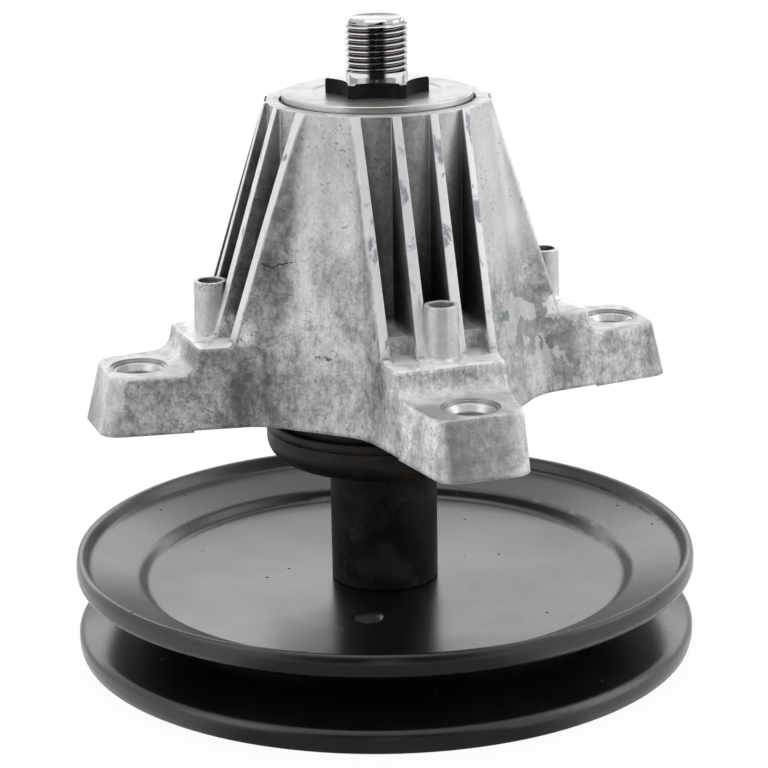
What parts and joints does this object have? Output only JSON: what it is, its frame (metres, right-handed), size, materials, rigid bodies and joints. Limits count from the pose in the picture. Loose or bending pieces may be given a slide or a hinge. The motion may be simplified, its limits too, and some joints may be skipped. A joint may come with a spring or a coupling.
{
  "type": "mower deck spindle",
  "caption": "Finned cast spindle housing on legs, carrying a bearing-mounted shaft with a threaded blade end and star drive above and a grooved belt pulley below.",
  "frame": {"origin": "on the spindle's axis, in the plane that the pulley's lower lip stands on", "axes": "+Z along the spindle towards the blade end, up in the picture; the legs lie along X and Y"},
  "size_m": [0.1644, 0.1644, 0.1653],
  "materials": {
    "cast_aluminium": "as cast, mottled",
    "bearing_steel": "ground",
    "cage_nylon": "moulded",
    "seal_rubber": "moulded",
    "shaft_steel": "turned",
    "turned_steel": "bright turned",
    "black_oxide": "black oxide",
    "black_paint": "satin powder coat",
    "zinc_steel": "zinc plated"
  },
  "bodies": {
    "housing": {"housing": "cast_aluminium", "blade_bearing_outer": "bearing_steel", "blade_bearing_seal_low": "seal_rubber", "blade_bearing_seal_high": "seal_rubber", "pulley_bearing_outer": "bearing_steel", "pulley_bearing_seal_low": "seal_rubber", "pulley_bearing_seal_high": "seal_rubber"},
    "spindle": {"spindle_shaft": "shaft_steel", "blade_disc": "turned_steel", "blade_bearing_inner": "bearing_steel", "bearing_spacer": "shaft_steel", "pulley_bearing_inner": "bearing_steel", "flinger_cup": "black_oxide", "spacer_sleeve": "black_oxide", "pulley_upper_disc": "black_paint", "pulley_lower_disc": "black_paint", "pulley_nut": "zinc_steel"},
    "blade_cage": {"blade_bearing_cage": "cage_nylon", "blade_bearing_balls": "bearing_steel"},
    "pulley_cage": {"pulley_bearing_cage": "cage_nylon", "pulley_bearing_balls": "bearing_steel"}
  },
  "joints": [
    {"name": "spindle_spin", "type": "hinge", "parent": "housing", "child": "spindle", "pos_m": [0, 0, 0.1], "axis": [0, 0, 1], "continuous": true},
    {"name": "blade_cage_spin", "type": "hinge", "parent": "housing", "child": "blade_cage", "pos_m": [0, 0, 0.1356], "axis": [0, 0, 1], "continuous": true},
    {"name": "pulley_cage_spin", "type": "hinge", "parent": "housing", "child": "pulley_cage", "pos_m": [0, 0, 0.0665], "axis": [0, 0, 1], "continuous": true}
  ],
  "couplings": [
    {"joint": "blade_cage_spin", "follows": "spindle_spin", "ratio": 0.3827},
    {"joint": "pulley_cage_spin", "follows": "spindle_spin", "ratio": 0.3827}
  ]
}
